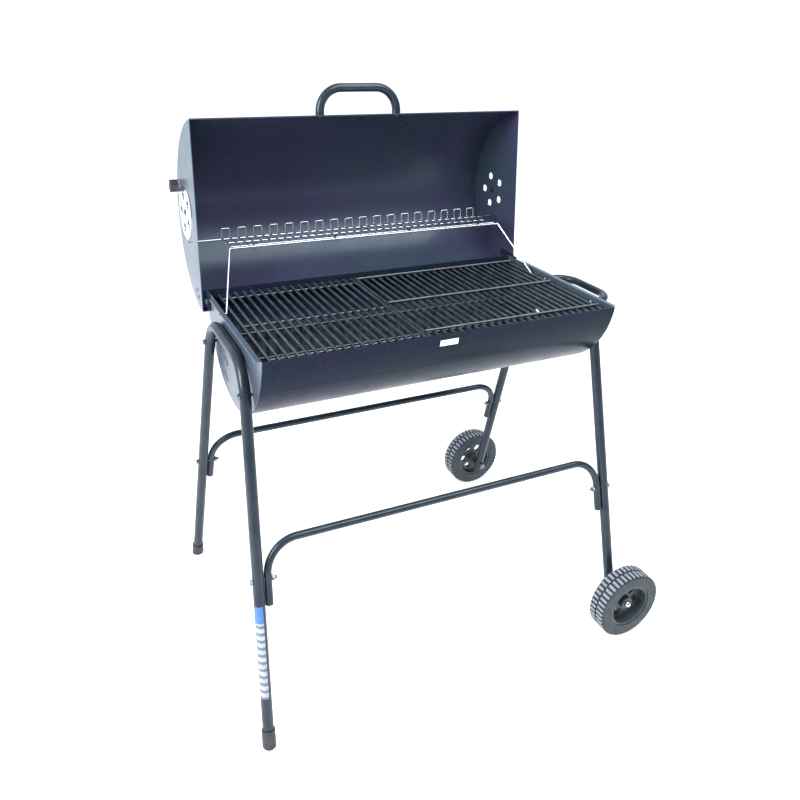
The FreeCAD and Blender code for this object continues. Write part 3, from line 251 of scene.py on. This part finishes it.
def make_hub_plastic():
    """Dark teal-grey moulding with fine grain."""
    g = Graph("hub_plastic_look")
    colour = g.mix(g.span(g.noise(60, detail=4), 0.35, 0.7), (0.018, 0.028, 0.034),
                   (0.036, 0.050, 0.058))
    wear_and_painted_highlight = g.math("MULTIPLY", g.edges(0.001), 0.3)
    g.colour(g.mix(wear_and_painted_highlight, colour, (0.12, 0.15, 0.17)))
    g.roughness(g.span(g.noise(120), 0.3, 0.7, 0.38, 0.55))
    g.bump([(g.noise(1100, detail=3), 0.25, 0.0003)])
    return g.material


def make_black_plastic():
    """Matt black moulding with leather-fine grain and pale rubbed edges."""
    g = Graph("black_plastic_look")
    colour = g.mix(g.span(g.noise(80, detail=4), 0.35, 0.7), (0.010, 0.012, 0.016),
                   (0.022, 0.025, 0.031))
    wear_and_painted_highlight = g.math("MULTIPLY", g.edges(0.0012), 0.35)
    g.colour(g.mix(wear_and_painted_highlight, colour, (0.18, 0.19, 0.20)))
    g.roughness(g.span(g.noise(150), 0.3, 0.7, 0.45, 0.65))
    g.bump([(g.noise(1300, detail=3), 0.3, 0.0003)])
    return g.material


def make_badge():
    """Plain brushed plate."""
    g = Graph("badge_look")
    lines = g.noise(600, detail=4, where=g.place(scale=(0.05, 1, 1)))
    g.colour(g.mix(g.span(lines, 0.35, 0.65), (0.62, 0.63, 0.66), (0.82, 0.83, 0.85)))
    g.roughness(g.span(lines, 0.3, 0.7, 0.25, 0.42))
    g.put(Metallic=0.6)
    g.bump([(lines, 0.15, 0.0002)])
    return g.material


def make_label():
    """Pale printed strip: a blue block at its top and plain bars down its length."""
    g = Graph("label_look")
    low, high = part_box("leg_label")
    height = g.node("ShaderNodeSeparateXYZ")
    coordinates = g.node("ShaderNodeTexCoord")
    g.link(coordinates.outputs["Object"], height.inputs["Vector"])
    level = g.span(height.outputs["Z"], low.z, high.z)
    paper = g.mix(g.span(g.noise(90, detail=5), 0.4, 0.7), (0.26, 0.29, 0.36),
                  (0.36, 0.40, 0.47))
    bar_count = 13.0
    bar_share = 0.42
    blue_start = 0.82
    along_bar = g.math("FRACT", g.math("MULTIPLY", level, bar_count), 0.0)
    bars = g.math("LESS_THAN", along_bar, bar_share)
    printed = g.mix(g.math("MULTIPLY", bars, 0.75), paper, (0.03, 0.04, 0.07))
    blue = g.math("GREATER_THAN", level, blue_start)
    g.colour(g.mix(blue, printed, (0.03, 0.12, 0.38)))
    g.roughness(g.span(g.noise(200), 0.3, 0.7, 0.28, 0.42))
    g.put(Coat_Weight=0.3)
    g.bump([(g.noise(400), 0.1, 0.0002)])
    return g.material


looks = {
    "black_enamel": make_enamel("black_enamel_look", (0.004, 0.012, 0.020),
                                (0.008, 0.008, 0.026), 0.22, 0.36, 0.05),
    "tube_paint": make_tube_paint(),
    "grate_enamel": make_grate_enamel(),
    "chrome_wire": make_chrome("chrome_wire_look", (0.46, 0.48, 0.53), 0.16, 0.30),
    "vent_chrome": make_chrome("vent_chrome_look", (0.86, 0.87, 0.88), 0.08, 0.20),
    "black_plastic": make_black_plastic(),
    "tyre": make_tyre(),
    "hub_plastic": make_hub_plastic(),
    "bright_nut": make_chrome("bright_nut_look", (0.50, 0.54, 0.57), 0.20, 0.34),
    "badge_silver": make_badge(),
    "label_white": make_label(),
    "zinc": make_zinc(),
}

# the lid and the bowl's flat ends wear glossier copies of the same enamel whose paler colour
# is painted light: the lid's copy lifts its shaded inside, the ends' copy stands in for strong
# light from the left
shell_enamel_painted_lighter = make_enamel("lid_shell_painted_light_look", (0.026, 0.042, 0.062), (0.038, 0.032, 0.078),
                           0.24, 0.38, 0.30)
# paler still, painted light: the end plates' copy stands in for the strong light from the left
end_enamel_painted_lit = make_enamel("end_plate_painted_light_look", (0.042, 0.066, 0.086), (0.052, 0.062, 0.096),
                         0.20, 0.34, 0.45)
glossier_painted_light_copies = {
    "lid_shell": shell_enamel_painted_lighter,
    "lid_end_left": end_enamel_painted_lit,
    "lid_end_right": shell_enamel_painted_lighter,
    "bowl_end_left": end_enamel_painted_lit,
    "bowl_end_right": end_enamel_painted_lit,
}

for part in frame["record"]["subparts"]:
    name = part["node"]
    look = glossier_painted_light_copies.get(name, looks[part["material_slot"]])
    for material_slot in nodes[name].material_slots:
        material_slot.material = look


# ---------------------------------------------------------------- studio

FLOOR_HALF_WIDTH = 12.0
# world strength in front of the grill, behind it, and where the camera sees it
DIM_STRENGTH = 0.35
BRIGHT_STRENGTH = 1.3
SEEN_STRENGTH = 1.3
AIM_HEIGHT = 0.6


def make_floor():
    """Pale plane that glows a little, so that it stays white to its far edge."""
    mesh = bpy.data.meshes.new("studio_floor")
    half = FLOOR_HALF_WIDTH
    corners = [(-half, -half, 0), (half, -half, 0), (half, half, 0), (-half, half, 0)]
    mesh.from_pydata(corners, [], [(0, 1, 2, 3)])
    floor = bpy.data.objects.new("studio_floor", mesh)
    bpy.context.scene.collection.objects.link(floor)
    g = Graph("studio_floor_look")
    g.colour(g.mix(g.noise(2), (0.88, 0.88, 0.89), (0.92, 0.92, 0.93)))
    g.put(Roughness=0.9, Emission_Color=(1.0, 1.0, 1.0, 1.0), Emission_Strength=0.35)
    mesh.materials.append(g.material)


def add_area_light(name, place, target, width, height, power):
    """Rectangular light aimed at a point; its power is in watts."""
    data = bpy.data.lights.new(name, "AREA")
    data.shape = "RECTANGLE"
    data.size = width
    data.size_y = height
    data.energy = power
    light = bpy.data.objects.new(name, data)
    light.location = place
    light.rotation_euler = (Vector(target) - Vector(place)).to_track_quat("-Z", "Y").to_euler()
    bpy.context.scene.collection.objects.link(light)


def make_world():
    """White to the camera; dimmer in front of the grill than behind it for its light."""
    world = bpy.data.worlds.new("studio")
    world.use_nodes = True
    tree = world.node_tree
    coordinates = tree.nodes.new("ShaderNodeTexCoord")
    slope = tree.nodes.new("ShaderNodeVectorMath")
    slope.operation = "DOT_PRODUCT"
    slope.inputs[1].default_value = (-0.35, 0.85, 0.30)
    tree.links.new(coordinates.outputs["Generated"], slope.inputs[0])
    strength = tree.nodes.new("ShaderNodeMapRange")
    strength.inputs["From Min"].default_value = -0.7
    strength.inputs["From Max"].default_value = 0.7
    strength.inputs["To Min"].default_value = DIM_STRENGTH
    strength.inputs["To Max"].default_value = BRIGHT_STRENGTH
    tree.links.new(slope.outputs["Value"], strength.inputs["Value"])
    path = tree.nodes.new("ShaderNodeLightPath")
    seen = tree.nodes.new("ShaderNodeMix")
    tree.links.new(path.outputs["Is Camera Ray"], seen.inputs["Factor"])
    tree.links.new(strength.outputs["Result"], seen.inputs["A"])
    seen.inputs["B"].default_value = SEEN_STRENGTH
    background = tree.nodes["Background"]
    background.inputs["Color"].default_value = (0.85, 0.93, 1.0, 1)
    tree.links.new(seen.outputs["Result"], background.inputs["Strength"])
    bpy.context.scene.world = world


def make_lights():
    """Soft world, a key light on the left and a broad one above the front right."""
    make_world()
    aim = floor_under_bowl + Vector((0, 0, AIM_HEIGHT))
    add_area_light("key", aim + Vector((-2.4, -0.5, 1.2)), aim, 1.1, 1.5, 120)
    add_area_light("top", aim + Vector((0.9, -1.1, 2.4)), aim, 2.2, 2.2, 120)


def make_camera():
    """Camera at the viewing angle, held in the bowl's own frame."""
    yaw = math.radians(25.2297)
    pitch = math.radians(20.7690)
    roll = math.radians(1.8415)
    ahead = Vector((math.sin(yaw) * math.cos(pitch), math.cos(yaw) * math.cos(pitch),
                    -math.sin(pitch)))
    level = Vector((math.cos(yaw), -math.sin(yaw), 0))
    above = level.cross(ahead)
    right = level * math.cos(roll) + above * math.sin(roll)
    up = above * math.cos(roll) - level * math.sin(roll)
    data = bpy.data.cameras.new("camera")
    data.lens = 34.324
    data.sensor_width = 36
    data.shift_x = 0.0389
    data.shift_y = -0.1188
    camera = bpy.data.objects.new("camera", data)
    place = floor_under_bowl + Vector((-0.6578, -1.2138, 1.1896))
    turn = Matrix((right, up, -ahead)).transposed()
    camera.matrix_world = Matrix.Translation(place) @ turn.to_4x4()
    bpy.context.scene.collection.objects.link(camera)
    bpy.context.scene.camera = camera


make_floor()
make_lights()
make_camera()
bpy.context.scene.view_settings.view_transform = "Standard"
